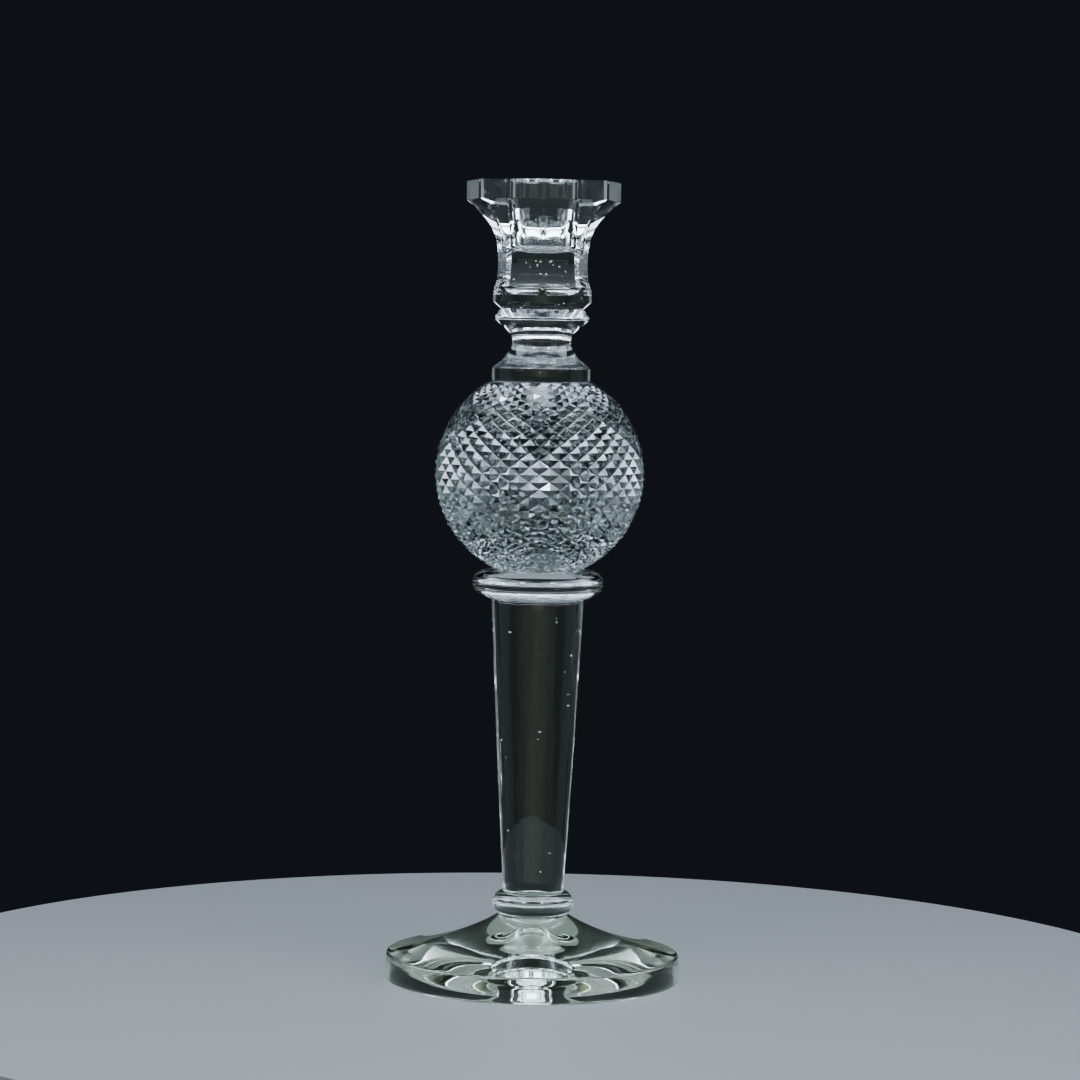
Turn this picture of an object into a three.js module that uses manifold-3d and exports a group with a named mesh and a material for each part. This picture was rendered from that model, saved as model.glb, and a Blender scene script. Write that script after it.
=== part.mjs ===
// Cut-glass candlestick, standing on the XY plane with its axis on +Z. Millimetres.
//
// The stick is a stack of glass pieces, each ground flat and joined face to face to the next:
// foot, lower knop, tapered stem, upper knop, diamond-cut ball, turned neck and seven-sided
// candle socket. A thin clear layer closes every joint: a visible glass wafer at the foot and at
// both ends of the stem, and a bond film at the ball and under the socket.

import * as THREE from 'three';
import { mergeVertices } from 'three/addons/utils/BufferGeometryUtils.js';
import Module from 'manifold-3d';

// ---------- driving dimensions ----------

const TURNED_SIDES = 56; // facets round a turned surface
const CURVE_STEPS = 7; // straight steps along one curved stretch of an outline

const WAFER_THICKNESS = 0.8;
const BOND_THICKNESS = 0.3;
const BOND_SETBACK = 0.2; // how far a bond film stays inside the narrower of its two faces
const BALL_BOND_SHARE = 0.94; // bond film to ball flat, whose edge the grooves cut into

const FOOT_RADIUS = 61.4;
const FOOT_HEIGHT = 26.8;
const FOOT_EDGE_HEIGHT = 10.5;
const FOOT_EDGE_ROUND = 1.6; // rounding where the edge meets the underside
const FOOT_EDGE_DRAFT = 0.7; // how much narrower the edge is at its top
const FOOT_SEAT_RADIUS = 14.7;
const FOOT_TOP_ROUND = 0.8;
const HOLLOW_RADIUS = 15.5; // mouth of the bell-shaped hollow under the foot
const HOLLOW_HEIGHT = 14.0;

const LOWER_KNOP_RADIUS = 16.8;
const LOWER_KNOP_HEIGHT = 9.2;
const LOWER_KNOP_WIDEST = 4.2; // height of the widest ring
const LOWER_KNOP_SEAT_RADIUS = 14.5;

const STEM_HEIGHT = 119.6;
const STEM_BOTTOM_RADIUS = 12.6;
const STEM_TOP_RADIUS = 19.0;
const STEM_SWELL = 0.25; // how far the sides stand out from a straight taper at mid height
const STEM_LEDGE = 0.2; // how far a knop's flat stands out past the stem

const UPPER_KNOP_RADIUS = 27.3;
const UPPER_KNOP_HEIGHT = 12.2;
const UPPER_KNOP_WIDEST = 6.7;
const UPPER_KNOP_SEAT_RADIUS = 19.8;

const BALL_RADIUS = 43.5; // over the points of the pyramids
const BALL_LOWER_FLAT_RADIUS = 18.0; // where the ball is ground flat to sit on the knop
const BALL_UPPER_FLAT_RADIUS = 22.05; // where it is ground flat to carry the neck
const PYRAMIDS_AROUND = 32;
const PYRAMID_ROWS = 40; // half rows of pyramids between the two flats
const PYRAMID_HEIGHT = 1.7; // at the ball's widest, less where the pattern narrows

const NECK_HEIGHT = 29.7;
const NECK_RADIUS = 12.1; // at its narrowest
const NECK_NARROWEST = 16.4; // height of the narrowest ring
const PLINTH_RADIUS = 20.3;
const PLINTH_HEIGHT = 5.7;
const CREASE_RADIUS = 13.2; // sharp ring where the neck's cove meets the cone over it
const CREASE_HEIGHT = 20.0;
const RIDGE_RADIUS = 19.4;
const RIDGE_BAND = 1.1; // upright band on the ridge under the socket
const GROOVE_RADIUS = 17.2; // bottom of the V groove between neck and socket
const GROOVE_LOWER_SIDE = 3.2; // height of the groove's side on the neck
const GROOVE_UPPER_SIDE = 2.5; // height of the groove's side on the socket

const SOCKET_SIDES = 7;
const SOCKET_HEIGHT = 52.1;
const COLLAR_RADIUS = 20.3;
const FLUTE_START = 5.4; // height of the lowest point of each cut flute
const FLUTE_LEAN = 1.7; // how far a flat leans out between its lowest point and height -1
const WAIST_HEIGHT = 19.1;
const WAIST_APOTHEM = 17.0; // axis to the middle of a flat, at the waist
const RIM_APOTHEM = 29.4;
const RIM_HEIGHT = 7.7;
const BLANK_RADIUS = 38.0; // turned blank over the waist, wider than the rim's arrises
const BLANK_SHOULDER = 4.0; // how far under the rim band the blank reaches that radius

const CANDLE_HOLE_RADIUS = 11.5;
const CANDLE_HOLE_DEPTH = 26.1; // straight part, from the rim down
const CANDLE_HOLE_DISH = 3.6; // further depth of the rounded floor
const CANDLE_HOLE_CHAMFER = 0.8;

// Each curved stretch is a Bezier curve. Its two pulls are given as [share of the way from the
// start's radius to the end's radius, share of the way from the start's height to the end's].
const FOOT_TOP_PULLS = [[0.39, 0.18], [0.79, 0.59]];
const HOLLOW_PULLS = [[0.45, 0], [0.39, 0.75]];
const LOWER_KNOP_UNDER_PULLS = [[0.6, 0.07], [1, 0.5]];
const LOWER_KNOP_OVER_PULLS = [[0, 0.45], [0.44, 0.9]];
const UPPER_KNOP_UNDER_PULLS = [[0.41, 0.15], [1, 0.45]];
const UPPER_KNOP_OVER_PULLS = [[0, 0.56], [0.33, 1]];
const PLINTH_COVE_PULLS = [[0.52, 0.29], [1, 0.6]];
const CREASE_PULLS = [[0, 0.36], [0.3, 0.67]];
const FLUTE_PULLS = [[0.6, 0.16], [0.95, 0.4]];
const SOCKET_COVE_PULLS = [[0.02, 0.51], [0.27, 0.67]];
const CANDLE_DISH_PULLS = [[0.5, 0], [0.9, 0.4]];

// ---------- materials ----------

const clearGlass = new THREE.MeshStandardMaterial({
  color: 0xdfe6e4,
  roughness: 0.03,
  metalness: 0,
  transparent: true,
  opacity: 0.4,
});
const footGlass = clearGlass.clone();
footGlass.color.set(0xc3cfbe);
const cutGlass = clearGlass.clone();
cutGlass.color.set(0xe9eeee);
cutGlass.roughness = 0.06;
const bondLayer = clearGlass.clone();
bondLayer.color.set(0xd8d8cc);

// ---------- outline and solid helpers ----------

const point = (radius, height) => new THREE.Vector2(radius, height);

// A curved stretch of an outline from start to end, without its first point.
function curve(start, end, pulls) {
  const [startPull, endPull] = pulls.map(([radiusShare, heightShare]) =>
    point(
      start.x + radiusShare * (end.x - start.x),
      start.y + heightShare * (end.y - start.y),
    ),
  );
  return new THREE.CubicBezierCurve(start, startPull, endPull, end).getPoints(CURVE_STEPS).slice(1);
}

// A body of revolution about +Z. A multiple of four sides puts corners on both axes.
function revolved(outline, sides = TURNED_SIDES) {
  const geometry = new THREE.LatheGeometry(outline, sides);
  geometry.rotateX(Math.PI / 2);
  return geometry;
}

// A flat disc with straight sides.
function disc(radius, thickness) {
  return revolved([point(0, 0), point(radius, 0), point(radius, thickness), point(0, thickness)]);
}

const manifoldLibrary = await Module();
manifoldLibrary.setup();

function toManifold(geometry) {
  const bare = geometry.clone();
  bare.deleteAttribute('normal');
  bare.deleteAttribute('uv');
  const merged = mergeVertices(bare, 1e-4);
  const corners = [];
  for (let i = 0; i < merged.index.count; i += 3) {
    const [a, b, c] = [0, 1, 2].map((k) => merged.index.getX(i + k));
    if (a !== b && b !== c && c !== a) corners.push(a, b, c);
  }
  return new manifoldLibrary.Manifold(
    new manifoldLibrary.Mesh({
      numProp: 3,
      vertProperties: new Float32Array(merged.attributes.position.array),
      triVerts: new Uint32Array(corners),
    }),
  );
}

function fromManifold(solid) {
  const mesh = solid.getMesh();
  const geometry = new THREE.BufferGeometry();
  geometry.setAttribute('position', new THREE.BufferAttribute(mesh.vertProperties, mesh.numProp));
  geometry.setIndex(new THREE.BufferAttribute(mesh.triVerts, 1));
  return geometry;
}

// ---------- the glass pieces, each with its lower face at height 0 ----------

function foot() {
  const edgeTop = FOOT_RADIUS - FOOT_EDGE_DRAFT;
  const hollowTop = point(0, HOLLOW_HEIGHT);
  const surfaceStart = point(edgeTop - FOOT_TOP_ROUND, FOOT_EDGE_HEIGHT + FOOT_TOP_ROUND / 2);
  return revolved([
    hollowTop,
    ...curve(hollowTop, point(HOLLOW_RADIUS, 0), HOLLOW_PULLS),
    point(FOOT_RADIUS - FOOT_EDGE_ROUND, 0),
    point(FOOT_RADIUS - FOOT_EDGE_ROUND / 3, FOOT_EDGE_ROUND / 3),
    point(FOOT_RADIUS, FOOT_EDGE_ROUND),
    point(edgeTop, FOOT_EDGE_HEIGHT),
    surfaceStart,
    ...curve(surfaceStart, point(FOOT_SEAT_RADIUS, FOOT_HEIGHT), FOOT_TOP_PULLS),
    point(0, FOOT_HEIGHT),
  ]);
}

// A ring of glass between two flats, spun from a curve under and a curve over its widest ring.
function knop(bottomRadius, widest, top, underPulls, overPulls) {
  const bottom = point(bottomRadius, 0);
  return revolved([
    point(0, 0),
    bottom,
    ...curve(bottom, widest, underPulls),
    ...curve(widest, top, overPulls),
    point(0, top.y),
  ]);
}

function lowerKnop() {
  return knop(
    LOWER_KNOP_SEAT_RADIUS,
    point(LOWER_KNOP_RADIUS, LOWER_KNOP_WIDEST),
    point(STEM_BOTTOM_RADIUS + STEM_LEDGE, LOWER_KNOP_HEIGHT),
    LOWER_KNOP_UNDER_PULLS,
    LOWER_KNOP_OVER_PULLS,
  );
}

function upperKnop() {
  return knop(
    STEM_TOP_RADIUS + STEM_LEDGE,
    point(UPPER_KNOP_RADIUS, UPPER_KNOP_WIDEST),
    point(UPPER_KNOP_SEAT_RADIUS, UPPER_KNOP_HEIGHT),
    UPPER_KNOP_UNDER_PULLS,
    UPPER_KNOP_OVER_PULLS,
  );
}

// The two middle corners of the side's Bezier curve stand out by 4/3 of the swell, which puts
// the curve's own middle out by the swell.
function taperedStem() {
  const bottomEdge = point(STEM_BOTTOM_RADIUS, 0);
  const topEdge = point(STEM_TOP_RADIUS, STEM_HEIGHT);
  const pullOut = (4 / 3) * (STEM_SWELL / (STEM_TOP_RADIUS - STEM_BOTTOM_RADIUS));
  return revolved([
    point(0, 0),
    bottomEdge,
    ...curve(bottomEdge, topEdge, [[1 / 3 + pullOut, 1 / 3], [2 / 3 + pullOut, 2 / 3]]),
    point(0, STEM_HEIGHT),
  ]);
}

// From the ball's centre down to its lower flat and up to its upper flat.
const ballBelowCentre = Math.sqrt(BALL_RADIUS ** 2 - BALL_LOWER_FLAT_RADIUS ** 2);
const ballAboveCentre = Math.sqrt(BALL_RADIUS ** 2 - BALL_UPPER_FLAT_RADIUS ** 2);

// The ball's grooves run round it in two crossing families, each at a constant angle to the
// meridians, so the diamonds between them keep their shape and shrink towards both flats. The
// rows are evenly spaced in stretched latitude, ln(tan(45 degrees + latitude / 2)).
function cutBall() {
  const stretch = (latitude) => Math.log(Math.tan(Math.PI / 4 + latitude / 2));
  const unstretch = (value) => 2 * Math.atan(Math.exp(value)) - Math.PI / 2;
  const lowest = stretch(-Math.asin(ballBelowCentre / BALL_RADIUS));
  const highest = stretch(Math.asin(ballAboveCentre / BALL_RADIUS));
  const step = (2 * Math.PI) / PYRAMIDS_AROUND;

  const corners = [];
  const triangles = [];
  const place = (row, longitude, depthShare) => {
    const latitude = unstretch(lowest + ((highest - lowest) * row) / PYRAMID_ROWS);
    const depth = depthShare * PYRAMID_HEIGHT * Math.cos(latitude);
    const height = BALL_RADIUS * Math.sin(latitude);
    const radius = (BALL_RADIUS - depth) * Math.cos(latitude);
    const onFlat = row === 0 || row === PYRAMID_ROWS;
    const lift = onFlat ? height : height - depth * Math.sin(latitude);
    corners.push(radius * Math.sin(longitude), -radius * Math.cos(longitude), lift + ballBelowCentre);
    return corners.length / 3 - 1;
  };

  const shift = (row) => (row % 2 ? 0.5 : 0);
  const crossings = [];
  for (let row = 0; row <= PYRAMID_ROWS; row += 1) {
    const ring = [];
    for (let i = 0; i < PYRAMIDS_AROUND; i += 1) ring.push(place(row, (i + shift(row)) * step, 1));
    crossings.push(ring);
  }
  const bottomCentre = place(0, 0, 1);
  corners[3 * bottomCentre] = 0;
  corners[3 * bottomCentre + 1] = 0;
  const topCentre = place(PYRAMID_ROWS, 0, 1);
  corners[3 * topCentre] = 0;
  corners[3 * topCentre + 1] = 0;

  for (let row = 0; row <= PYRAMID_ROWS; row += 1) {
    const onFlat = row === 0 || row === PYRAMID_ROWS;
    for (let i = 0; i < PYRAMIDS_AROUND; i += 1) {
      const next = (i + 1) % PYRAMIDS_AROUND;
      const beside = row % 2 ? next : i; // the crossing above and below this diamond's middle
      const left = crossings[row][i];
      const right = crossings[row][next];
      const tip = place(row, (i + shift(row) + 0.5) * step, onFlat ? 1 : 0);
      if (row < PYRAMID_ROWS) {
        const top = crossings[row + 1][beside];
        triangles.push(left, tip, top, tip, right, top);
      } else {
        triangles.push(left, tip, topCentre, tip, right, topCentre);
      }
      if (row > 0) {
        const bottom = crossings[row - 1][beside];
        triangles.push(left, bottom, tip, tip, bottom, right);
      } else {
        triangles.push(left, bottomCentre, tip, tip, bottomCentre, right);
      }
    }
  }
  const geometry = new THREE.BufferGeometry();
  geometry.setAttribute('position', new THREE.Float32BufferAttribute(corners, 3));
  geometry.setIndex(triangles);
  return geometry;
}

function neck() {
  const plinthEdge = point(PLINTH_RADIUS, PLINTH_HEIGHT);
  const narrowest = point(NECK_RADIUS, NECK_NARROWEST);
  const ridgeTop = NECK_HEIGHT - GROOVE_LOWER_SIDE;
  return revolved([
    point(0, 0),
    point(PLINTH_RADIUS, 0),
    plinthEdge,
    ...curve(plinthEdge, narrowest, PLINTH_COVE_PULLS),
    ...curve(narrowest, point(CREASE_RADIUS, CREASE_HEIGHT), CREASE_PULLS),
    point(RIDGE_RADIUS, ridgeTop - RIDGE_BAND),
    point(RIDGE_RADIUS, ridgeTop),
    point(GROOVE_RADIUS, NECK_HEIGHT),
    point(0, NECK_HEIGHT),
  ]);
}

// A turned blank cut flat on seven sides. One arris faces -Y.
function candleSocket() {
  const rimBottom = SOCKET_HEIGHT - RIM_HEIGHT;
  const blank = revolved([
    point(0, 0),
    point(GROOVE_RADIUS, 0),
    point(COLLAR_RADIUS, GROOVE_UPPER_SIDE),
    point(COLLAR_RADIUS, WAIST_HEIGHT),
    point(BLANK_RADIUS, rimBottom - BLANK_SHOULDER),
    point(BLANK_RADIUS, SOCKET_HEIGHT),
    point(0, SOCKET_HEIGHT),
  ]);

  const fluteStart = point(COLLAR_RADIUS, FLUTE_START);
  const waist = point(WAIST_APOTHEM, WAIST_HEIGHT);
  const flats = [
    point(0, -1),
    point(COLLAR_RADIUS + FLUTE_LEAN, -1),
    fluteStart,
    ...curve(fluteStart, waist, FLUTE_PULLS),
    ...curve(waist, point(RIM_APOTHEM, rimBottom), SOCKET_COVE_PULLS),
    point(RIM_APOTHEM, SOCKET_HEIGHT + 1),
    point(0, SOCKET_HEIGHT + 1),
  ];
  const toArris = 1 / Math.cos(Math.PI / SOCKET_SIDES);
  const sevenSided = revolved(
    flats.map(({ x, y }) => point(x * toArris, y)),
    SOCKET_SIDES,
  );

  const straightEnd = point(CANDLE_HOLE_RADIUS, SOCKET_HEIGHT - CANDLE_HOLE_DEPTH);
  const floorCentre = point(0, straightEnd.y - CANDLE_HOLE_DISH);
  const mouth = CANDLE_HOLE_RADIUS + CANDLE_HOLE_CHAMFER;
  const hole = revolved([
    floorCentre,
    ...curve(floorCentre, straightEnd, CANDLE_DISH_PULLS),
    point(CANDLE_HOLE_RADIUS, SOCKET_HEIGHT - CANDLE_HOLE_CHAMFER),
    point(mouth, SOCKET_HEIGHT),
    point(mouth, SOCKET_HEIGHT + 1),
    point(0, SOCKET_HEIGHT + 1),
  ]);
  return fromManifold(
    toManifold(blank).intersect(toManifold(sevenSided)).subtract(toManifold(hole)),
  );
}

// ---------- the stack, from the table up ----------

const footJoint = Math.min(FOOT_SEAT_RADIUS, LOWER_KNOP_SEAT_RADIUS) - BOND_SETBACK;
const ballBottomJoint = BALL_BOND_SHARE * Math.min(BALL_LOWER_FLAT_RADIUS, UPPER_KNOP_SEAT_RADIUS);
const ballTopJoint = BALL_BOND_SHARE * Math.min(BALL_UPPER_FLAT_RADIUS, PLINTH_RADIUS);

const stack = [
  ['foot', foot(), FOOT_HEIGHT, footGlass],
  ['foot_wafer', disc(footJoint, WAFER_THICKNESS), WAFER_THICKNESS, clearGlass],
  ['lower_knop', lowerKnop(), LOWER_KNOP_HEIGHT, clearGlass],
  ['stem_bottom_wafer', disc(STEM_BOTTOM_RADIUS, WAFER_THICKNESS), WAFER_THICKNESS, clearGlass],
  ['tapered_stem', taperedStem(), STEM_HEIGHT, clearGlass],
  ['stem_top_wafer', disc(STEM_TOP_RADIUS, WAFER_THICKNESS), WAFER_THICKNESS, clearGlass],
  ['upper_knop', upperKnop(), UPPER_KNOP_HEIGHT, clearGlass],
  ['ball_bottom_bond', disc(ballBottomJoint, BOND_THICKNESS), BOND_THICKNESS, bondLayer],
  ['cut_ball', cutBall(), ballBelowCentre + ballAboveCentre, cutGlass],
  ['ball_top_bond', disc(ballTopJoint, BOND_THICKNESS), BOND_THICKNESS, bondLayer],
  ['neck', neck(), NECK_HEIGHT, clearGlass],
  ['socket_bond', disc(GROOVE_RADIUS - BOND_SETBACK, BOND_THICKNESS), BOND_THICKNESS, bondLayer],
  ['candle_socket', candleSocket(), SOCKET_HEIGHT, cutGlass],
];

const group = new THREE.Group();
let level = 0;
for (const [name, geometry, height, material] of stack) {
  const mesh = new THREE.Mesh(geometry, material);
  mesh.name = name;
  mesh.position.z = level;
  group.add(mesh);
  level += height;
}

export default group;
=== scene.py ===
# %% [markdown]
# # Cut-glass candlestick
# A tall candlestick made of seven glass pieces joined end to end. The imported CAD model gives
# every piece its place and size. This lesson rebuilds each piece with a finer surface, in
# metres, where the CAD piece stands, and then gives it glass, light and a camera.

# %% Load the frame
import math
import random

import bpy
from mathutils import Euler, Matrix, Vector


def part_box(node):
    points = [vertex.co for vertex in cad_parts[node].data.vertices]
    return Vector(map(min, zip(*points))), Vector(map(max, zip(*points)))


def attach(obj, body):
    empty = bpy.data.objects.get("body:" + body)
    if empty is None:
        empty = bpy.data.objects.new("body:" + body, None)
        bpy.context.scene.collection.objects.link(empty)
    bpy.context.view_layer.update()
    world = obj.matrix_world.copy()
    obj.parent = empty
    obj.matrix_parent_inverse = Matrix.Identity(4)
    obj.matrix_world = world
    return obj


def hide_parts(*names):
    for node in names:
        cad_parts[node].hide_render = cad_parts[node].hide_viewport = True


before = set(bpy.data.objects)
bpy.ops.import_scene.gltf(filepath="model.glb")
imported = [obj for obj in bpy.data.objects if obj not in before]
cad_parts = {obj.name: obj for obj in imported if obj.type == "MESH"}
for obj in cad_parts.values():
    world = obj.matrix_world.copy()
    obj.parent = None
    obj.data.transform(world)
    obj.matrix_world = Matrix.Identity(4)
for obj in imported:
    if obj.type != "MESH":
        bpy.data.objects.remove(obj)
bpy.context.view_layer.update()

MM = 0.001

# %% [markdown]
# ## Camera
# The candlestick is looked at from the height of its neck, with a long lens a metre and a half
# away: the foot is seen from above, the rim from a little under it, and upright lines stay
# upright. A shorter lens nearer by would give the foot a rounder oval. The small roll sets the
# stick slightly off plumb in the frame.

# %% Camera
CAMERA_DISTANCE = 1.479
CAMERA_HEIGHT = 0.277
CAMERA_SIDE = 0.0006
CAMERA_PITCH = math.radians(3.654)
CAMERA_ROLL = math.radians(0.9)
LENS = 119.6
SENSOR_WIDTH = 36.0
NEAREST_SEEN = 0.05

camera_data = bpy.data.cameras.new("camera")
camera_data.lens = LENS
camera_data.sensor_width = SENSOR_WIDTH
camera_data.clip_start = NEAREST_SEEN
camera = bpy.data.objects.new("camera", camera_data)
bpy.context.scene.collection.objects.link(camera)
camera.location = (CAMERA_SIDE, -CAMERA_DISTANCE, CAMERA_HEIGHT)
aim = Euler((math.pi / 2 - CAMERA_PITCH, 0, 0)).to_matrix()
camera.rotation_euler = (aim @ Matrix.Rotation(CAMERA_ROLL, 3, "Z")).to_euler()
bpy.context.scene.camera = camera
print("camera at", [round(v, 3) for v in camera.location])

# %% [markdown]
# ## Modelling helpers
# Most of the pieces were turned, so each is an outline spun round the axis. The outline is
# drawn as by hand: a plane merged to one point, extruded from point to point, then spun. A
# screw modifier would also do, but the spin operator leaves plain geometry to select rings in.

# %% Curves and selection
TURN_STEPS = 128
CURVE_STEPS = 14
NEAR = 1e-5
LEVEL = 0.999


def curve(start, end, pulls, steps=CURVE_STEPS):
    """Points of a cubic Bezier curve, without its first point.

    Each pull is its share of the way from start to end, in radius and in height.
    """
    corners = [start]
    for pull in pulls:
        corners.append(tuple(s + share * (e - s) for s, e, share in zip(start, end, pull)))
    corners.append(end)
    points = []
    for i in range(1, steps + 1):
        t = i / steps
        weights = ((1 - t) ** 3, 3 * t * (1 - t) ** 2, 3 * t**2 * (1 - t), t**3)
        points.append(tuple(sum(w * c[k] for w, c in zip(weights, corners)) for k in (0, 1)))
    return points


def pick(obj=None):
    """Leaves edit mode and selects obj alone, or nothing at all."""
    if bpy.context.object and bpy.context.object.mode != "OBJECT":
        bpy.ops.object.mode_set(mode="OBJECT")
    bpy.ops.object.select_all(action="DESELECT")
    if obj:
        bpy.context.view_layer.objects.active = obj
        obj.select_set(True)


def enter_edit(obj, mode="VERT"):
    """Opens obj in edit mode with nothing selected."""
    pick(obj)
    bpy.ops.object.mode_set(mode="EDIT")
    bpy.ops.mesh.select_mode(type=mode)
    bpy.ops.mesh.select_all(action="DESELECT")


def select_where(obj, kind, test):
    """Selects only the faces or edges of obj that pass a test, and returns how many."""
    bpy.ops.mesh.select_all(action="DESELECT")
    bpy.ops.object.mode_set(mode="OBJECT")
    chosen = 0
    for item in getattr(obj.data, kind):
        item.select = bool(test(item))
        chosen += item.select
    bpy.ops.object.mode_set(mode="EDIT")
    return chosen


def radius_of(point):
    return math.hypot(point.x, point.y)


def on_ring(obj, edge, radius, height):
    """True if both ends of an edge lie on a ring round the axis."""
    ends = [obj.data.vertices[i].co for i in edge.vertices]
    return all(abs(radius_of(p) - radius) < NEAR and abs(p.z - height) < NEAR for p in ends)


def is_level(face, height):
    """True if a face lies level at a height in millimetres."""
    return abs(face.normal.z) > LEVEL and abs(face.center.z - height * MM) < NEAR


print("helpers ready")

# %% Turning, edge rounding and smoothing
def turn(name, outline):
    """Spins an outline of (radius, height) points in millimetres, from axis to axis."""
    pick()
    bpy.ops.mesh.primitive_plane_add(size=MM)
    obj = bpy.context.object
    obj.name = name
    enter_edit(obj)
    bpy.ops.mesh.select_all(action="SELECT")
    bpy.ops.mesh.merge(type="CENTER")
    here = outline[0]
    bpy.ops.transform.translate(value=(here[0] * MM, 0, here[1] * MM))
    for radius, height in outline[1:]:
        step = ((radius - here[0]) * MM, 0, (height - here[1]) * MM)
        bpy.ops.mesh.extrude_region_move(TRANSFORM_OT_translate={"value": step})
        here = (radius, height)
    bpy.ops.mesh.select_all(action="SELECT")
    bpy.ops.mesh.spin(steps=TURN_STEPS, angle=2 * math.pi, center=(0, 0, 0), axis=(0, 0, 1))
    bpy.ops.mesh.select_all(action="SELECT")
    bpy.ops.mesh.remove_doubles(threshold=NEAR / 2)
    bpy.ops.mesh.normals_make_consistent(inside=False)
    bpy.ops.object.mode_set(mode="OBJECT")
    return obj


def round_rings(obj, rings, width, segments=3):
    """Bevels the named rings of a turned piece, as polishing rounds a sharp edge."""
    enter_edit(obj, "EDGE")
    for radius, height in rings:
        count = select_where(obj, "edges", lambda e: on_ring(obj, e, radius * MM, height * MM))
        if count:
            bpy.ops.mesh.bevel(offset=width * MM, segments=segments, affect="EDGES")
        else:
            print(obj.name, "has no ring at", radius, height)
        bpy.ops.mesh.select_all(action="DESELECT")
    bpy.ops.object.mode_set(mode="OBJECT")


def smooth(obj, degrees):
    """Smooth shading, with edges sharper than the angle left crisp."""
    pick(obj)
    bpy.ops.object.shade_smooth_by_angle(angle=math.radians(degrees))


print("turning tools ready")

# %% [markdown]
# ## Glass
# Real glass is hardly a surface at all: what shows is what it bends and mirrors. Three things
# keep it from looking like a computer's perfect glass. Fire polishing leaves slow waves in the
# surface, handling leaves faint specks and wipes, and the thick foot looks green. The waves and
# the specks are node groups, because every glass in the stick shares them. The ball's glass is
# painted dark, as painted shade for the light that enters among so many facets and is lost in
# them. It also has a strong polish on top, so what the eye gets is the shine of the facets
# themselves.

# %% Node group: slow waves
WAVE_DETAIL = 2.0
WAVE_BREAK_UP = 0.4


def add_group(name, inputs, outputs):
    """A shader node group with float inputs, and its input and output nodes."""
    tree = bpy.data.node_groups.new(name, "ShaderNodeTree")
    for label, value in inputs:
        socket = tree.interface.new_socket(label, in_out="INPUT", socket_type="NodeSocketFloat")
        socket.default_value = value
    for label, kind in outputs:
        tree.interface.new_socket(label, in_out="OUTPUT", socket_type=kind)
    return tree, tree.nodes.new("NodeGroupInput"), tree.nodes.new("NodeGroupOutput")


def surface_waves():
    """Puts out the normal of a surface that is not quite even."""
    tree, given, result = add_group(
        "surface_waves",
        [("Waves per metre", 60.0), ("Wave height", 0.00003), ("Upright stretch", 1.0)],
        [("Normal", "NodeSocketVector")],
    )
    nodes, link = tree.nodes, tree.links.new
    place = nodes.new("ShaderNodeTexCoord")
    stretch = nodes.new("ShaderNodeCombineXYZ")
    stretch.inputs["X"].default_value = 1.0
    stretch.inputs["Y"].default_value = 1.0
    link(given.outputs["Upright stretch"], stretch.inputs["Z"])
    scaled = nodes.new("ShaderNodeVectorMath")
    scaled.operation = "MULTIPLY"
    link(place.outputs["Object"], scaled.inputs[0])
    link(stretch.outputs["Vector"], scaled.inputs[1])
    noise = nodes.new("ShaderNodeTexNoise")
    noise.inputs["Detail"].default_value = WAVE_DETAIL
    noise.inputs["Roughness"].default_value = WAVE_BREAK_UP
    link(scaled.outputs["Vector"], noise.inputs["Vector"])
    link(given.outputs["Waves per metre"], noise.inputs["Scale"])
    bump = nodes.new("ShaderNodeBump")
    link(noise.outputs["Fac"], bump.inputs["Height"])
    link(given.outputs["Wave height"], bump.inputs["Distance"])
    link(bump.outputs["Normal"], result.inputs["Normal"])
    return tree


WAVES = surface_waves()
print("node group:", WAVES.name)

# %% Node group: specks and wipes
WIPES_PER_METRE = 45.0
WIPE_DETAIL = 5.0
WIPE_FROM = 0.58
WIPE_FULL = 0.8
WIPE_STRENGTH = 0.35


def surface_marks():
    """Puts out a roughness that is clean but for small specks and faint wiped patches."""
    tree, given, result = add_group(
        "surface_marks",
        [("Specks per metre", 500.0), ("Speck size", 0.1), ("Clean", 0.0), ("Marked", 0.12)],
        [("Roughness", "NodeSocketFloat")],
    )
    nodes, link = tree.nodes, tree.links.new
    place = nodes.new("ShaderNodeTexCoord")
    cells = nodes.new("ShaderNodeTexVoronoi")
    link(place.outputs["Object"], cells.inputs["Vector"])
    link(given.outputs["Specks per metre"], cells.inputs["Scale"])
    speck = nodes.new("ShaderNodeMath")
    speck.operation = "LESS_THAN"
    link(cells.outputs["Distance"], speck.inputs[0])
    link(given.outputs["Speck size"], speck.inputs[1])
    wipes = nodes.new("ShaderNodeTexNoise")
    wipes.inputs["Scale"].default_value = WIPES_PER_METRE
    wipes.inputs["Detail"].default_value = WIPE_DETAIL
    link(place.outputs["Object"], wipes.inputs["Vector"])
    faint = nodes.new("ShaderNodeMapRange")
    faint.inputs["From Min"].default_value = WIPE_FROM
    faint.inputs["From Max"].default_value = WIPE_FULL
    faint.inputs["To Max"].default_value = WIPE_STRENGTH
    link(wipes.outputs["Fac"], faint.inputs["Value"])
    either = nodes.new("ShaderNodeMath")
    either.operation = "MAXIMUM"
    link(speck.outputs["Value"], either.inputs[0])
    link(faint.outputs["Result"], either.inputs[1])
    level = nodes.new("ShaderNodeMapRange")
    link(either.outputs["Value"], level.inputs["Value"])
    link(given.outputs["Clean"], level.inputs["To Min"])
    link(given.outputs["Marked"], level.inputs["To Max"])
    link(level.outputs["Result"], result.inputs["Roughness"])
    return tree


MARKS = surface_marks()
print("node group:", MARKS.name)

# %% Glass materials
GLASS_IOR = 1.52
SHADOW_TINT = (0.93, 0.95, 0.93, 1.0)


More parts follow.
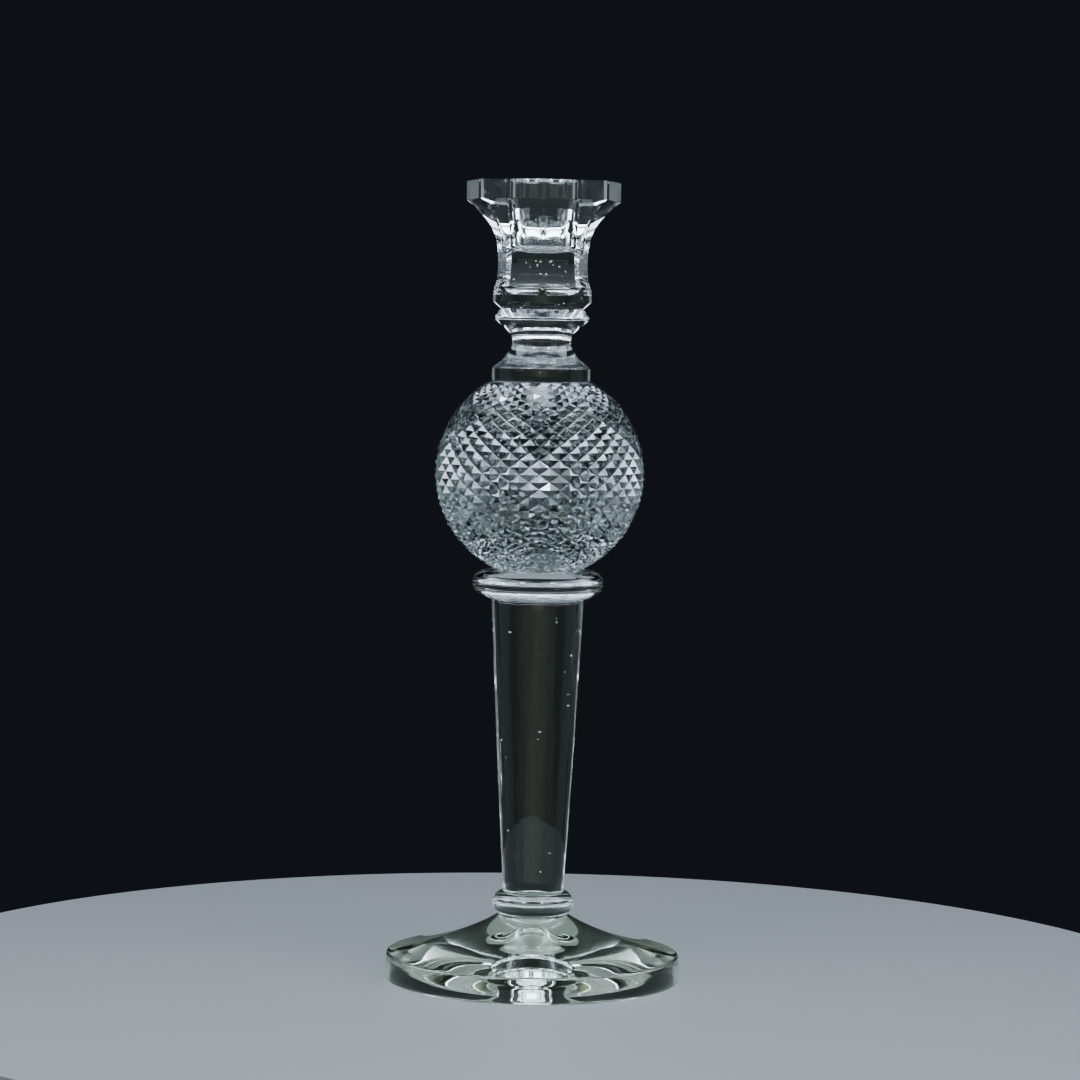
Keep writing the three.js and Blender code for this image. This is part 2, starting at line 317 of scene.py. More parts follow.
def glass(
    name, colour, waves, wave_height, stretch=1.0, clean=0.0, marked=0.1,
    polish=0.0, polish_ior=GLASS_IOR,
):
    """Clear glass that lamps shine through, so that its shadow on the table stays light.

    waves is how many there are to the metre, and their height is in millimetres. A stretch
    under 1 draws them out upright. clean and marked are the roughness between and on the marks,
    and polish is a coat that mirrors more the higher its own index is.
    """
    material = bpy.data.materials.new(name)
    material.use_nodes = True
    nodes, link = material.node_tree.nodes, material.node_tree.links.new
    shader = nodes["Principled BSDF"]
    shader.inputs["Base Color"].default_value = (*colour, 1.0)
    shader.inputs["Metallic"].default_value = 0.0
    shader.inputs["IOR"].default_value = GLASS_IOR
    shader.inputs["Transmission Weight"].default_value = 1.0
    shader.inputs["Coat Weight"].default_value = polish
    shader.inputs["Coat IOR"].default_value = polish_ior
    uneven = nodes.new("ShaderNodeGroup")
    uneven.node_tree = WAVES
    uneven.inputs["Waves per metre"].default_value = waves
    uneven.inputs["Wave height"].default_value = wave_height * MM
    uneven.inputs["Upright stretch"].default_value = stretch
    link(uneven.outputs["Normal"], shader.inputs["Normal"])
    marks = nodes.new("ShaderNodeGroup")
    marks.node_tree = MARKS
    marks.inputs["Clean"].default_value = clean
    marks.inputs["Marked"].default_value = marked
    link(marks.outputs["Roughness"], shader.inputs["Roughness"])
    shade = nodes.new("ShaderNodeBsdfTransparent")
    shade.inputs["Color"].default_value = SHADOW_TINT
    path = nodes.new("ShaderNodeLightPath")
    mix = nodes.new("ShaderNodeMixShader")
    link(path.outputs["Is Shadow Ray"], mix.inputs["Fac"])
    link(shader.outputs["BSDF"], mix.inputs[1])
    link(shade.outputs["BSDF"], mix.inputs[2])
    link(mix.outputs["Shader"], nodes["Material Output"].inputs["Surface"])
    return material


def open_joint():
    """The faces inside a joint. The bond bends light as glass does, so they do not show."""
    material = bpy.data.materials.new("open_joint")
    material.use_nodes = True
    nodes, link = material.node_tree.nodes, material.node_tree.links.new
    nodes.remove(nodes["Principled BSDF"])
    clear = nodes.new("ShaderNodeBsdfTransparent")
    clear.inputs["Color"].default_value = (1.0, 1.0, 1.0, 1.0)
    link(clear.outputs["BSDF"], nodes["Material Output"].inputs["Surface"])
    return material


CLEAR_GLASS = glass("polished_glass", (0.97, 0.98, 0.965), 70.0, 0.02, stretch=0.35)
STEM_GLASS = glass("drawn_glass", (0.97, 0.98, 0.955), 210.0, 0.35, stretch=0.015)
CUT_GLASS = glass("wheel_cut_glass", (0.975, 0.985, 0.975), 160.0, 0.008)
# The ball's dark grey base colour is painted shade for the light lost among its facets.
BALL_GLASS_WITH_PAINTED_SHADE = glass(
    "diamond_cut_glass_painted_shade", (0.24, 0.27, 0.27), 160.0, 0.004,
    clean=0.075, marked=0.2, polish=1.0, polish_ior=1.8,
)
FOOT_GLASS = glass("pressed_foot_glass", (0.88, 0.94, 0.8), 45.0, 0.04)
BOND_GLASS = glass("bond_film", (0.97, 0.97, 0.95), 90.0, 0.01)
OPEN_JOINT = open_joint()

# %% [markdown]
# ## Finishing a piece
# Every piece rides on the stick's one body, hides its CAD node and takes its glass. The faces
# inside a joint get the open material, because two glass faces drawn on one plane would mirror
# each other where the real bond lets the light straight through.

# %% Finish and check a piece
BUBBLE_SUBDIVISIONS = 2
CRISP_ANGLE = 32


def add_bubbles(obj, bubbles):
    """Round voids in the glass, (x, y, z, radius) in millimetres, their faces turned inwards."""
    enter_edit(obj)
    for x, y, z, radius in bubbles:
        bpy.ops.mesh.select_all(action="DESELECT")
        bpy.ops.mesh.primitive_ico_sphere_add(
            subdivisions=BUBBLE_SUBDIVISIONS,
            radius=radius * MM,
            location=(x * MM, y * MM, z * MM),
        )
        bpy.ops.mesh.flip_normals()
    bpy.ops.object.mode_set(mode="OBJECT")


def finish_piece(obj, node, material, joints, bubbles=(), degrees=CRISP_ANGLE):
    """Gives a piece its glass, opens its joint faces and puts it in its CAD node's place."""
    low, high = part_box(node)
    if bubbles:
        add_bubbles(obj, bubbles)
    obj.data.materials.clear()
    obj.data.materials.append(material)
    obj.data.materials.append(OPEN_JOINT)
    opened = 0
    for face in obj.data.polygons:
        for joint_radius, height in joints:
            if is_level(face, height) and all(
                radius_of(obj.data.vertices[i].co) < joint_radius * MM + NEAR
                for i in face.vertices
            ):
                face.material_index = 1
                opened += 1
    smooth(obj, degrees)
    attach(obj, "root")
    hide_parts(node)
    points = [v.co for v in obj.data.vertices]
    past = max(
        max(p.x for p in points) - high.x,
        max(p.z for p in points) - high.z,
        low.z - min(p.z for p in points),
    )
    print(f"{obj.name}: {len(obj.data.polygons)} faces, {opened} in joints,", end=" ")
    print(f"past its CAD piece by {past / MM:.3f} mm")


def box_mm(node):
    """Radius, bottom and top of a CAD node in millimetres."""
    low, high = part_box(node)
    return high.x / MM, low.z / MM, high.z / MM


for node in sorted(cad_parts, key=lambda n: box_mm(n)[1]):
    print("stack:", node, "from", round(box_mm(node)[1], 1), "mm")

# %% [markdown]
# ## Clear layers in the joints
# Between the ground faces lies a thin layer: glass wafers at the foot and the stem's ends, and
# bond film elsewhere. They are the thinnest pieces of the stick, yet they draw the bright
# double lines round it, because their edges are rounded apart from their neighbours'.

# %% Layers
LAYER_ROUND = 0.15


def layer(node, side, material):
    """A disc between two ground faces. side is +1 for a rounded edge and -1 for a hollow one."""
    radius, low, high = box_mm(node)
    flat_radius = radius - LAYER_ROUND
    middle = (low + high) / 2
    outline = [(0, low), (flat_radius, low)]
    if side > 0:
        outline += [(radius, low + LAYER_ROUND), (radius, high - LAYER_ROUND)]
    else:
        outline += [(flat_radius - LAYER_ROUND, middle)]
    outline += [(flat_radius, high), (0, high)]
    obj = turn(node + "_clear", outline)
    finish_piece(obj, node, material, [(flat_radius, low), (flat_radius, high)])


def joint_below(node):
    """Radius and height of the open face where a layer meets the piece under it."""
    radius, low, _ = box_mm(node)
    return radius - LAYER_ROUND, low


def joint_above(node):
    """Radius and height of the open face where a layer meets the piece over it."""
    radius, _, high = box_mm(node)
    return radius - LAYER_ROUND, high


for node in ("foot_wafer", "stem_bottom_wafer", "stem_top_wafer"):
    layer(node, 1, CLEAR_GLASS)
for node in ("ball_bottom_bond", "ball_top_bond", "socket_bond"):
    layer(node, -1, BOND_GLASS)

# %% [markdown]
# ## Bubbles
# Handmade glass holds a few small bubbles, which catch the light as bright points. Each is a
# real void here, a little sphere turned inside out in the piece's own mesh, because painted
# points would stay on the surface. Their places are a fixed scatter.

# %% Bubble places
def scatter(count, radius, low, high, seed, smallest, largest):
    """Places for small bubbles inside a cylinder of glass, in millimetres."""
    draw = random.Random(seed)
    found = []
    for _ in range(count):
        angle = draw.uniform(0, 2 * math.pi)
        reach = radius * math.sqrt(draw.random())
        found.append(
            (
                reach * math.cos(angle),
                reach * math.sin(angle),
                draw.uniform(low, high),
                draw.uniform(smallest, largest),
            )
        )
    return found


print("bubble places ready")

# %% [markdown]
# ## Foot
# The foot was pressed thick, then its top was drawn up to a seat and a bell-shaped hollow was
# left under it. One spun outline gives the table side, the edge and the long hollow curve of
# the top; a flat disc and a cone joined together would miss that curve.

# %% Foot
FOOT_EDGE_HEIGHT = 10.5
FOOT_EDGE_DRAFT = 0.7
FOOT_EDGE_ROUND = 1.6
FOOT_EDGE_SEGMENTS = 5
FOOT_TOP_ROUND = 0.8
FOOT_TOP_BEVEL = 0.5
FOOT_SEAT_RADIUS = 14.7
HOLLOW_RADIUS = 15.5
HOLLOW_HEIGHT = 14.0
HOLLOW_ROUND = 0.4
HOLLOW_PULLS = ((0.45, 0), (0.39, 0.75))
FOOT_TOP_PULLS = ((0.39, 0.18), (0.79, 0.59))
FOOT_TOP_STEPS = 28


def make_foot():
    radius, low, high = box_mm("foot")
    edge_top = (radius - FOOT_EDGE_DRAFT, FOOT_EDGE_HEIGHT)
    surface_start = (edge_top[0] - FOOT_TOP_ROUND, FOOT_EDGE_HEIGHT + FOOT_TOP_ROUND / 2)
    open_radius, seat = joint_below("foot_wafer")
    outline = [(0, HOLLOW_HEIGHT)]
    outline += curve((0, HOLLOW_HEIGHT), (HOLLOW_RADIUS, low), HOLLOW_PULLS)
    outline += [(radius, low), edge_top, surface_start]
    outline += curve(surface_start, (FOOT_SEAT_RADIUS, high), FOOT_TOP_PULLS, FOOT_TOP_STEPS)
    outline += [(open_radius, seat), (0, seat)]
    obj = turn("foot_glass", outline)
    round_rings(obj, [(radius, low)], FOOT_EDGE_ROUND, FOOT_EDGE_SEGMENTS)
    round_rings(obj, [edge_top, surface_start], FOOT_TOP_BEVEL)
    round_rings(obj, [(HOLLOW_RADIUS, low)], HOLLOW_ROUND)
    bubbles = scatter(
        count=26, radius=55, low=2.5, high=9.5, seed=3, smallest=0.12, largest=0.3
    )
    finish_piece(obj, "foot", FOOT_GLASS, [(open_radius, seat)], bubbles)


make_foot()

# %% [markdown]
# ## Knops and stem
# A knop is the ring of glass that marks a joint. Both are spun from two curves that meet at
# the widest point. The stem is a long taper with a trace of swell, which a plain cone lacks.

# %% Knops
KNOP_EDGE_ROUND = 0.15
KNOP_EDGE_SEGMENTS = 2


def make_knop(node, widest_height, seats, layers, under_pulls, over_pulls):
    """A ring spun from a curve under its widest place and a curve over it.

    seats are the radii of its lower and upper end, and layers the pieces it touches there.
    """
    radius, low, high = box_mm(node)
    widest = (radius, low + widest_height)
    bottom_edge, top_edge = (seats[0], low), (seats[1], high)
    open_low, bottom = joint_above(layers[0])
    open_high, top = joint_below(layers[1])
    outline = [(0, bottom), (open_low, bottom), bottom_edge]
    outline += curve(bottom_edge, widest, under_pulls)
    outline += curve(widest, top_edge, over_pulls)
    outline += [(open_high, top), (0, top)]
    obj = turn(node + "_glass", outline)
    round_rings(obj, [bottom_edge, top_edge], KNOP_EDGE_ROUND, KNOP_EDGE_SEGMENTS)
    finish_piece(obj, node, CLEAR_GLASS, [(open_low, bottom), (open_high, top)])


make_knop(
    "lower_knop",
    widest_height=4.2,
    seats=(14.5, 12.8),
    layers=("foot_wafer", "stem_bottom_wafer"),
    under_pulls=((0.6, 0.07), (1, 0.5)),
    over_pulls=((0, 0.45), (0.44, 0.9)),
)
make_knop(
    "upper_knop",
    widest_height=6.7,
    seats=(19.2, 19.8),
    layers=("stem_top_wafer", "ball_bottom_bond"),
    under_pulls=((0.41, 0.15), (1, 0.45)),
    over_pulls=((0, 0.56), (0.33, 1)),
)

# %% Tapered stem
STEM_SWELL = 0.25
STEM_STEPS = 40
STEM_BUBBLE_MARGIN = 4


def make_stem():
    top_radius, low, high = box_mm("tapered_stem")
    bottom_radius = box_mm("stem_bottom_wafer")[0]
    open_low, bottom = joint_above("stem_bottom_wafer")
    open_high, top = joint_below("stem_top_wafer")
    bottom_edge, top_edge = (bottom_radius, low), (top_radius, high)
    pull_out = 4 / 3 * STEM_SWELL / (top_radius - bottom_radius)
    pulls = ((1 / 3 + pull_out, 1 / 3), (2 / 3 + pull_out, 2 / 3))
    outline = [(0, bottom), (open_low, bottom), bottom_edge]
    outline += curve(bottom_edge, top_edge, pulls, STEM_STEPS)
    outline += [(open_high, top), (0, top)]
    obj = turn("tapered_stem_glass", outline)
    round_rings(obj, [bottom_edge, top_edge], KNOP_EDGE_ROUND, KNOP_EDGE_SEGMENTS)
    bubbles = scatter(
        count=18, radius=10, low=low + STEM_BUBBLE_MARGIN, high=high - STEM_BUBBLE_MARGIN,
        seed=11, smallest=0.18, largest=0.4,
    )
    joints = [(open_low, bottom), (open_high, top)]
    finish_piece(obj, "tapered_stem", STEM_GLASS, joints, bubbles)


make_stem()

# %% [markdown]
# ## Diamond-cut ball
# A wheel cut two families of grooves round the ball, leaving pyramids between them. A drum of
# quads is poked, and dissolving the drum's first edges leaves diamonds. Wrapping the drum on
# the ball in stretched latitude keeps each diamond's shape while it shrinks towards the flats.
# The last poke raises the pyramids. Cutting by hand is never quite even, so every crossing and
# tip is moved by a hair. Carving the grooves with booleans would take far longer.

# %% Cut ball: net of grooves
PYRAMIDS_AROUND = 32
PYRAMID_BANDS = 20
PYRAMID_HEIGHT = 1.7
BALL_RADIUS = 43.5
BALL_LOWER_FLAT = 18.0
BALL_UPPER_FLAT = 22.05
CUT_WANDER = 0.1
TIP_WANDER = 0.25
WANDER_SEED = 7
BALL_CENTRE = box_mm("cut_ball")[1] + math.sqrt(BALL_RADIUS**2 - BALL_LOWER_FLAT**2)
SLACK = 0.001


def diamond_drum():
    """A drum, 2 across and 2 high, whose wall is a net of upright diamonds."""
    pick()
    bpy.ops.mesh.primitive_cylinder_add(vertices=PYRAMIDS_AROUND, radius=1, depth=2)
    obj = bpy.context.object
    enter_edit(obj, "EDGE")
    points = obj.data.vertices

    def upright(edge):
        """True for the drum's first edges, from end to end of its wall."""
        return abs(points[edge.vertices[0]].co.z - points[edge.vertices[1]].co.z) > 1

    def first_edge(edge):
        """True for an edge of the wall that was there before the poke, except at its ends."""
        heights = [points[i].co.z for i in edge.vertices]
        rows = [(z + 1) / 2 * PYRAMID_BANDS for z in heights]
        whole = all(abs(row - round(row)) < SLACK for row in rows)
        return whole and not all(abs(z) > 1 - SLACK for z in heights)

    select_where(obj, "edges", upright)
    bpy.ops.mesh.subdivide(number_cuts=PYRAMID_BANDS - 1)
    bpy.ops.mesh.select_mode(type="FACE")
    select_where(obj, "polygons", lambda f: abs(f.normal.z) < LEVEL)
    bpy.ops.mesh.poke()
    bpy.ops.mesh.select_mode(type="EDGE")
    select_where(obj, "edges", first_edge)
    bpy.ops.mesh.dissolve_edges(use_verts=False)
    bpy.ops.object.mode_set(mode="OBJECT")
    return obj


def wrap_on_ball(obj, draw):
    """Lays the drum on the bottoms of the grooves, each a little off its even place."""
    lowest = math.asinh(math.tan(-math.acos(BALL_LOWER_FLAT / BALL_RADIUS)))
    highest = math.asinh(math.tan(math.acos(BALL_UPPER_FLAT / BALL_RADIUS)))
    for point in obj.data.vertices:
        share = (point.co.z + 1) / 2
        latitude = math.atan(math.sinh(lowest + share * (highest - lowest)))
        at_flat = min(share, 1 - share) < SLACK
        wander = 0 if at_flat else draw.uniform(-CUT_WANDER, CUT_WANDER)
        depth = PYRAMID_HEIGHT * math.cos(latitude) + wander
        across = (BALL_RADIUS - depth) * math.cos(latitude)
        longitude = math.atan2(point.co.y, point.co.x)
        sunk = 0 if at_flat else depth * math.sin(latitude)
        height = BALL_RADIUS * math.sin(latitude) - sunk
        point.co = (
            across * math.cos(longitude) * MM,
            across * math.sin(longitude) * MM,
            (BALL_CENTRE + height) * MM,
        )


net = diamond_drum()
print("diamonds:", sum(len(f.vertices) == 4 for f in net.data.polygons))

# %% Cut ball: pyramids and joints
BALL_CRISP_ANGLE = 5


def raise_pyramids(obj, draw):
    """Pokes every diamond and pulls its middle out to the ball's surface."""
    before = len(obj.data.vertices)
    enter_edit(obj, "FACE")
    select_where(obj, "polygons", lambda f: len(f.vertices) == 4)
    bpy.ops.mesh.poke()
    bpy.ops.object.mode_set(mode="OBJECT")
    for point in obj.data.vertices[before:]:
        out = point.co - Vector((0, 0, BALL_CENTRE * MM))
        reach = BALL_RADIUS - draw.uniform(0, TIP_WANDER)
        point.co = point.co - out + out.normalized() * reach * MM


def inset_flat(obj, joint_radius, height):
    """Insets the level face at a height to the size of the joint that meets it."""
    enter_edit(obj, "FACE")
    select_where(obj, "polygons", lambda f: is_level(f, height))
    bpy.ops.object.mode_set(mode="OBJECT")
    flat = [i for f in obj.data.polygons if f.select for i in f.vertices]
    edge_radius = max(radius_of(obj.data.vertices[i].co) for i in flat)
    bpy.ops.object.mode_set(mode="EDIT")
    inset = (edge_radius - joint_radius * MM) * math.cos(math.pi / PYRAMIDS_AROUND)
    bpy.ops.mesh.inset(thickness=inset)
    bpy.ops.object.mode_set(mode="OBJECT")


def make_ball(obj):
    obj.name = "cut_ball_glass"
    draw = random.Random(WANDER_SEED)
    wrap_on_ball(obj, draw)
    raise_pyramids(obj, draw)
    joints = [joint_above("ball_bottom_bond"), joint_below("ball_top_bond")]
    for joint_radius, height in joints:
        inset_flat(obj, joint_radius, height)
    enter_edit(obj)
    bpy.ops.mesh.select_all(action="SELECT")
    bpy.ops.mesh.normals_make_consistent(inside=False)
    bpy.ops.object.mode_set(mode="OBJECT")
    finish_piece(obj, "cut_ball", BALL_GLASS_WITH_PAINTED_SHADE, joints, degrees=BALL_CRISP_ANGLE)


make_ball(net)

# %% [markdown]
# ## Neck
# The neck is turned to a plinth, a hollow, a cone and a sharp ridge, and half of the V groove
# that parts it from the socket. Its edges are ground, so they are rounded only by a hair.

# %% Neck
NECK_RADIUS = 12.1
NECK_NARROWEST = 16.4
PLINTH_HEIGHT = 5.7
CREASE_RADIUS = 13.2
CREASE_HEIGHT = 20.0
RIDGE_RADIUS = 19.4
RIDGE_BAND = 1.1
GROOVE_RADIUS = 17.2
GROOVE_LOWER_SIDE = 3.2
PLINTH_COVE_PULLS = ((0.52, 0.29), (1, 0.6))
PLINTH_COVE_STEPS = 24
CREASE_PULLS = ((0, 0.36), (0.3, 0.67))
CREASE_STEPS = 8
GROUND_EDGE_ROUND = 0.3
NECK_BUBBLE_MARGIN = 3


def make_neck():
    plinth_radius, low, high = box_mm("neck")
    open_low, bottom = joint_above("ball_top_bond")
    open_high, top = joint_below("socket_bond")
    plinth_edge = (plinth_radius, low + PLINTH_HEIGHT)
    narrowest = (NECK_RADIUS, low + NECK_NARROWEST)
    crease = (CREASE_RADIUS, low + CREASE_HEIGHT)
    ridge_top = (RIDGE_RADIUS, high - GROOVE_LOWER_SIDE)
    ridge_bottom = (RIDGE_RADIUS, ridge_top[1] - RIDGE_BAND)
    outline = [(0, bottom), (open_low, bottom), (plinth_radius, low), plinth_edge]
    outline += curve(plinth_edge, narrowest, PLINTH_COVE_PULLS, PLINTH_COVE_STEPS)
    outline += curve(narrowest, crease, CREASE_PULLS, CREASE_STEPS)
    outline += [ridge_bottom, ridge_top, (GROOVE_RADIUS, high), (open_high, top), (0, top)]
    obj = turn("neck_glass", outline)
    edges = [(plinth_radius, low), plinth_edge, ridge_bottom, ridge_top]
    round_rings(obj, edges, GROUND_EDGE_ROUND)
    bubbles = scatter(
        count=5, radius=9, low=low + NECK_BUBBLE_MARGIN, high=high - NECK_BUBBLE_MARGIN,
        seed=5, smallest=0.12, largest=0.25,
    )
    finish_piece(obj, "neck", CLEAR_GLASS, [(open_low, bottom), (open_high, top)], bubbles)


make_neck()

# %% [markdown]
# ## Candle socket
# The socket began as a turned blank. Seven flats were cut down it: upright at the rim, swept
# in to the waist and run out in arches on the round collar. The same order works here: a
# seven-sided stack of extrusions is intersected with a turned blank, and the candle hole is
# cut out of both.

# %% Socket outline
SOCKET_SIDES = 7
COLLAR_RADIUS = 20.3
GROOVE_UPPER_SIDE = 2.5
FLUTE_START = 5.4
FLUTE_LEAN = 1.7
WAIST_HEIGHT = 19.1
WAIST_APOTHEM = 17.0
RIM_APOTHEM = 29.4
RIM_HEIGHT = 7.7
BLANK_RADIUS = 38.0
BLANK_SHOULDER = 4.0
FLUTE_PULLS = ((0.6, 0.16), (0.95, 0.4))
COVE_PULLS = ((0.02, 0.51), (0.27, 0.67))
COVE_STEPS = 20
OVERCUT = 1
HOLE_RADIUS = 11.5
HOLE_DEPTH = 26.1
HOLE_DISH = 3.6
HOLE_CHAMFER = 0.8
HOLE_PULLS = ((0.5, 0), (0.9, 0.4))


def flats_outline(low, high):
    """Distance from the axis to the middle of a flat, up the socket."""
    start = (COLLAR_RADIUS, low + FLUTE_START)
    waist = (WAIST_APOTHEM, low + WAIST_HEIGHT)
    rim = (RIM_APOTHEM, high - RIM_HEIGHT)
    points = [(COLLAR_RADIUS + FLUTE_LEAN, low - OVERCUT), start]
    points += curve(start, waist, FLUTE_PULLS)
    points += curve(waist, rim, COVE_PULLS, COVE_STEPS)
    return points + [(RIM_APOTHEM, high)]


print("flats:", len(flats_outline(0, box_mm("candle_socket")[2])), "points")

# %% Candle socket
SAME_SIZE = 1e-6
SOCKET_BUBBLES_ABOVE = 6
SOCKET_BUBBLES_UNDER_HOLE = 3


def apply_boolean(obj, tool, operation):
    """Cuts a tool out of obj, or keeps what lies in both, and throws the tool away."""
    pick(obj)
    modifier = obj.modifiers.new("cut", "BOOLEAN")
    modifier.operation = operation
    modifier.solver = "EXACT"
    modifier.object = tool
    bpy.ops.object.modifier_apply(modifier=modifier.name)
    bpy.data.objects.remove(tool)


def seven_sided(outline):
    """A stack of seven-sided rings, extruded and scaled from one to the next."""
    to_corner = 1 / math.cos(math.pi / SOCKET_SIDES)
    first = outline[0]
    pick()
    bpy.ops.mesh.primitive_circle_add(
        vertices=SOCKET_SIDES, radius=first[0] * to_corner * MM, fill_type="NGON"
    )
    obj = bpy.context.object
    enter_edit(obj, "FACE")
    bpy.ops.mesh.select_all(action="SELECT")
    bpy.ops.transform.rotate(value=math.pi, orient_axis="Z", center_override=(0, 0, 0))
    bpy.ops.transform.translate(value=(0, 0, first[1] * MM))
    for here, there in zip(outline, outline[1:]):
        rise = (there[1] - here[1]) * MM
        bpy.ops.mesh.extrude_region_move(TRANSFORM_OT_translate={"value": (0, 0, rise)})
        grow = there[0] / here[0]
        if abs(grow - 1) > SAME_SIZE:
            bpy.ops.transform.resize(value=(grow, grow, 1), center_override=(0, 0, there[1] * MM))
    bpy.ops.mesh.select_all(action="SELECT")
    bpy.ops.mesh.normals_make_consistent(inside=False)
    bpy.ops.object.mode_set(mode="OBJECT")
    return obj


def make_socket():
    _, low, high = box_mm("candle_socket")
    open_low, bottom = joint_above("socket_bond")
    obj = seven_sided(flats_outline(low, high))
    obj.name = "candle_socket_glass"
    blank = turn(
        "blank",
        [
            (0, low),
            (open_low, low),
            (GROOVE_RADIUS, low),
            (COLLAR_RADIUS, low + GROOVE_UPPER_SIDE),
            (COLLAR_RADIUS, low + WAIST_HEIGHT),
            (BLANK_RADIUS, high - RIM_HEIGHT - BLANK_SHOULDER),
            (BLANK_RADIUS, high + OVERCUT),
            (0, high + OVERCUT),
        ],
    )
    apply_boolean(obj, blank, "INTERSECT")
    straight_end = (HOLE_RADIUS, high - HOLE_DEPTH)
    floor = (0, straight_end[1] - HOLE_DISH)
    mouth = HOLE_RADIUS + HOLE_CHAMFER
    hole = turn(
        "hole",
        [floor]
        + curve(floor, straight_end, HOLE_PULLS)
        + [
            (HOLE_RADIUS, high - HOLE_CHAMFER),
            (mouth, high),
            (mouth, high + OVERCUT),
            (0, high + OVERCUT),
        ],
    )
    apply_boolean(obj, hole, "DIFFERENCE")
    bubbles = scatter(
        count=12, radius=13, low=low + SOCKET_BUBBLES_ABOVE,
        high=floor[1] - SOCKET_BUBBLES_UNDER_HOLE, seed=21, smallest=0.25, largest=0.5,
    )
    finish_piece(obj, "candle_socket", CUT_GLASS, [(open_low, bottom)], bubbles)


make_socket()

# %% [markdown]
# ## Table
# A small pale table, round so that no corner shows. It stops a hair under the foot, because two
# surfaces on one plane would flicker.

# %% Table
TABLE_RADIUS = 0.28
TABLE_THICKNESS = 0.02
TABLE_SIDES = 192
TABLE_GAP = 0.0003
TABLE_COLOUR = (0.5, 0.5, 0.49, 1)
TABLE_ROUGHNESS = 0.6

pick()
bpy.ops.mesh.primitive_cylinder_add(
    vertices=TABLE_SIDES,
    radius=TABLE_RADIUS,
    depth=TABLE_THICKNESS,
    location=(0, 0, -TABLE_THICKNESS / 2 - TABLE_GAP),
)
table = bpy.context.object
table.name = "table"
table_paint = bpy.data.materials.new("table_paint")
table_paint.use_nodes = True
paint = table_paint.node_tree.nodes["Principled BSDF"]
paint.inputs["Base Color"].default_value = TABLE_COLOUR
paint.inputs["Roughness"].default_value = TABLE_ROUGHNESS
table.data.materials.append(table_paint)
print("table across in mm:", round(2 * TABLE_RADIUS / MM))

# %% [markdown]
# ## Lamps
# Glass shows its lamps more than itself, so most lamps are large and soft, and they come in
# pairs that draw the same highlight on the left and on the right. The strong ones over the
# glass would burn out the pale table, so they are linked past it, and the table has a lamp of
# its own. A narrow spread makes a lamp's mirror image fade towards its edge. The last lamp is
# a faint olive one in front, as from a room, which the round stem mirrors down its middle.

# %% Lamps
DAYLIGHT = (0.76, 0.87, 1.0)
ROOM_LIGHT = (0.9, 1.0, 0.72)
LAMP_TARGET = Vector((0, 0, 0.17))
WIDE = 180


def lit_things(name, state):
    """A collection that makes a lamp light only the table, or everything but the table."""
    things = bpy.data.collections.new(name)
    things.objects.link(table)
    things.collection_objects[0].light_linking.link_state = state
    return things


def soft_lamp(name, place, size, watts, spread=WIDE, lights=None, colour=DAYLIGHT):
    """A rectangular lamp of a width and height in metres that faces the stick."""
    data = bpy.data.lights.new(name, "AREA")
    data.shape = "RECTANGLE"
    data.size, data.size_y = size
    data.energy = watts
    data.spread = math.radians(spread)
    data.color = colour
    lamp = bpy.data.objects.new(name, data)
    bpy.context.scene.collection.objects.link(lamp)
    lamp.location = place
    lamp.rotation_euler = (LAMP_TARGET - lamp.location).to_track_quat("-Z", "Y").to_euler()
    lamp.visible_camera = False
    lamp.light_linking.receiver_collection = lights
    print("lamp:", name, watts, "W")


def lamp_pair(name, place, *settings):
    """The same lamp on the left and on the right, for the right-hand one's place."""
    for side, sign in (("left", -1), ("right", 1)):
        soft_lamp(f"{name}_{side}", (sign * place[0], *place[1:]), *settings)


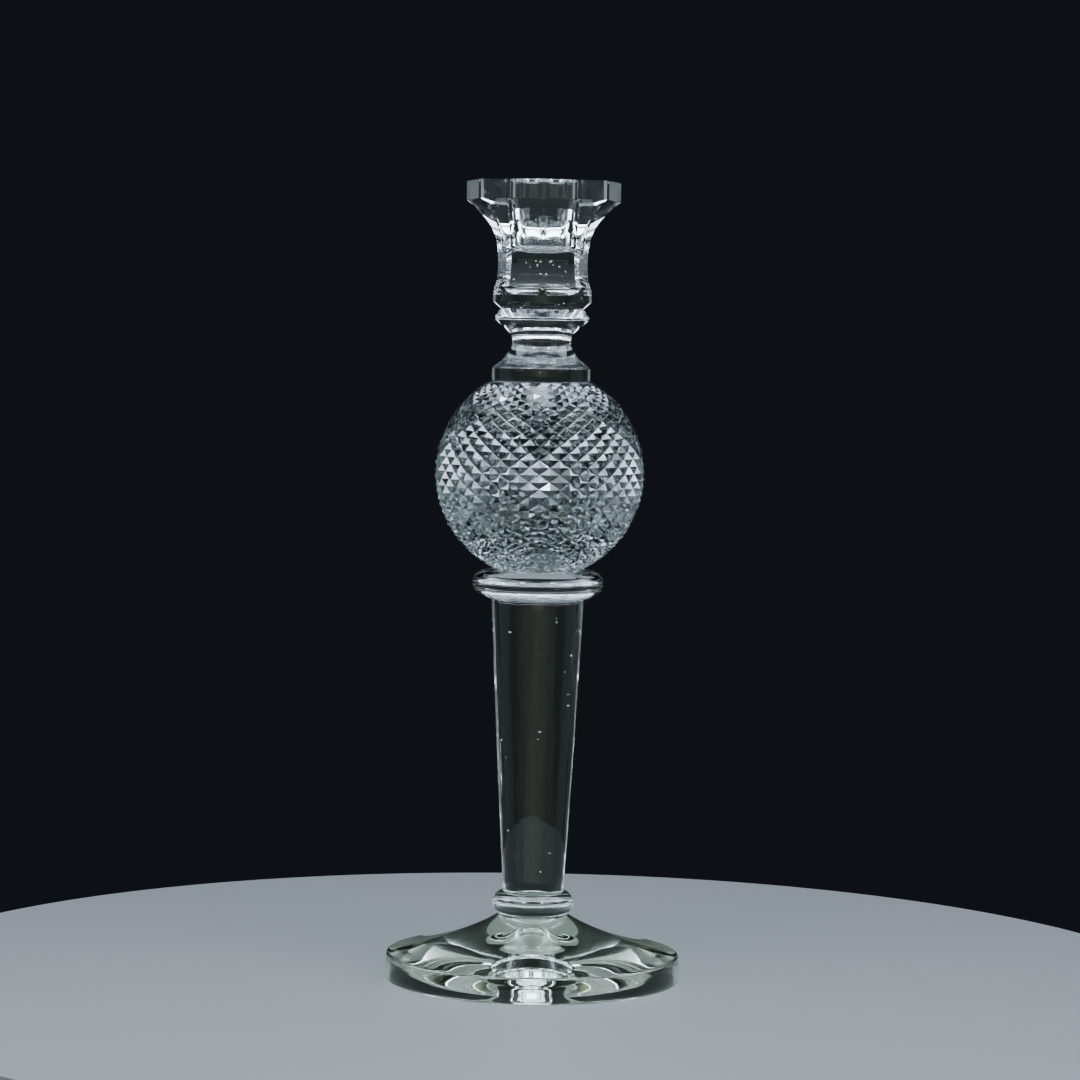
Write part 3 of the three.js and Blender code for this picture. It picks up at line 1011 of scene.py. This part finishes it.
only_table = lit_things("only_table", "INCLUDE")
past_table = lit_things("past_table", "EXCLUDE")
lamp_pair("lamp", (0.75, -1.3, 1.35), (0.3, 0.3), 7)
soft_lamp("over_table", (0, -0.5, 1.25), (1.1, 0.6), 11, WIDE, only_table)
lamp_pair("glass", (0.5, -0.42, 0.98), (1.2, 1.1), 2.0, 60, past_table)
soft_lamp("over_glass", (0, -0.05, 1.2), (1.0, 0.7), 3.6, 90, past_table)
lamp_pair("shoulder", (1.15, 0.15, 1.1), (1.0, 1.0), 2.4, 60, past_table)
lamp_pair("side", (1.5, 0.1, 0.4), (1.2, 2.6), 0.8, 90)
lamp_pair("window", (1.15, -0.9, 0.98), (0.8, 1.4), 0.8, 70)
soft_lamp("front_fill", (0, -2.6, 0.5), (1.6, 1.4), 0.2, 40, colour=ROOM_LIGHT)

# %% [markdown]
# ## Room and light paths
# Behind the stick the room is nearly black, so that the bright edges stand out. What the glass
# bends and mirrors comes from a slightly lighter room, or its dark parts would look like ink.
# Light goes through many faces in a stack of glass, so it is allowed many bounces.

# %% Room
BACKDROP_COLOUR = (0.012, 0.014, 0.018, 1)
ROOM_COLOUR = (0.02, 0.025, 0.026, 1)

world = bpy.data.worlds.new("room")
world.use_nodes = True
nodes, link = world.node_tree.nodes, world.node_tree.links.new
dark_backdrop = nodes["Background"]
dark_backdrop.inputs["Color"].default_value = BACKDROP_COLOUR
dim_room = nodes.new("ShaderNodeBackground")
dim_room.inputs["Color"].default_value = ROOM_COLOUR
seen = nodes.new("ShaderNodeLightPath")
either = nodes.new("ShaderNodeMixShader")
link(seen.outputs["Is Camera Ray"], either.inputs["Fac"])
link(dim_room.outputs["Background"], either.inputs[1])
link(dark_backdrop.outputs["Background"], either.inputs[2])
link(either.outputs["Shader"], nodes["World Output"].inputs["Surface"])
bpy.context.scene.world = world
print("room:", world.name)

# %% Light paths
GLASS_BOUNCES = 32
MIRROR_BOUNCES = 16
CLEAR_BOUNCES = 64

scene = bpy.context.scene
scene.view_settings.look = "AgX - Medium High Contrast"
scene.cycles.max_bounces = GLASS_BOUNCES
scene.cycles.transmission_bounces = GLASS_BOUNCES
scene.cycles.glossy_bounces = MIRROR_BOUNCES
scene.cycles.transparent_max_bounces = CLEAR_BOUNCES
scene.cycles.caustics_reflective = False
scene.cycles.caustics_refractive = False
print("look:", scene.view_settings.look)
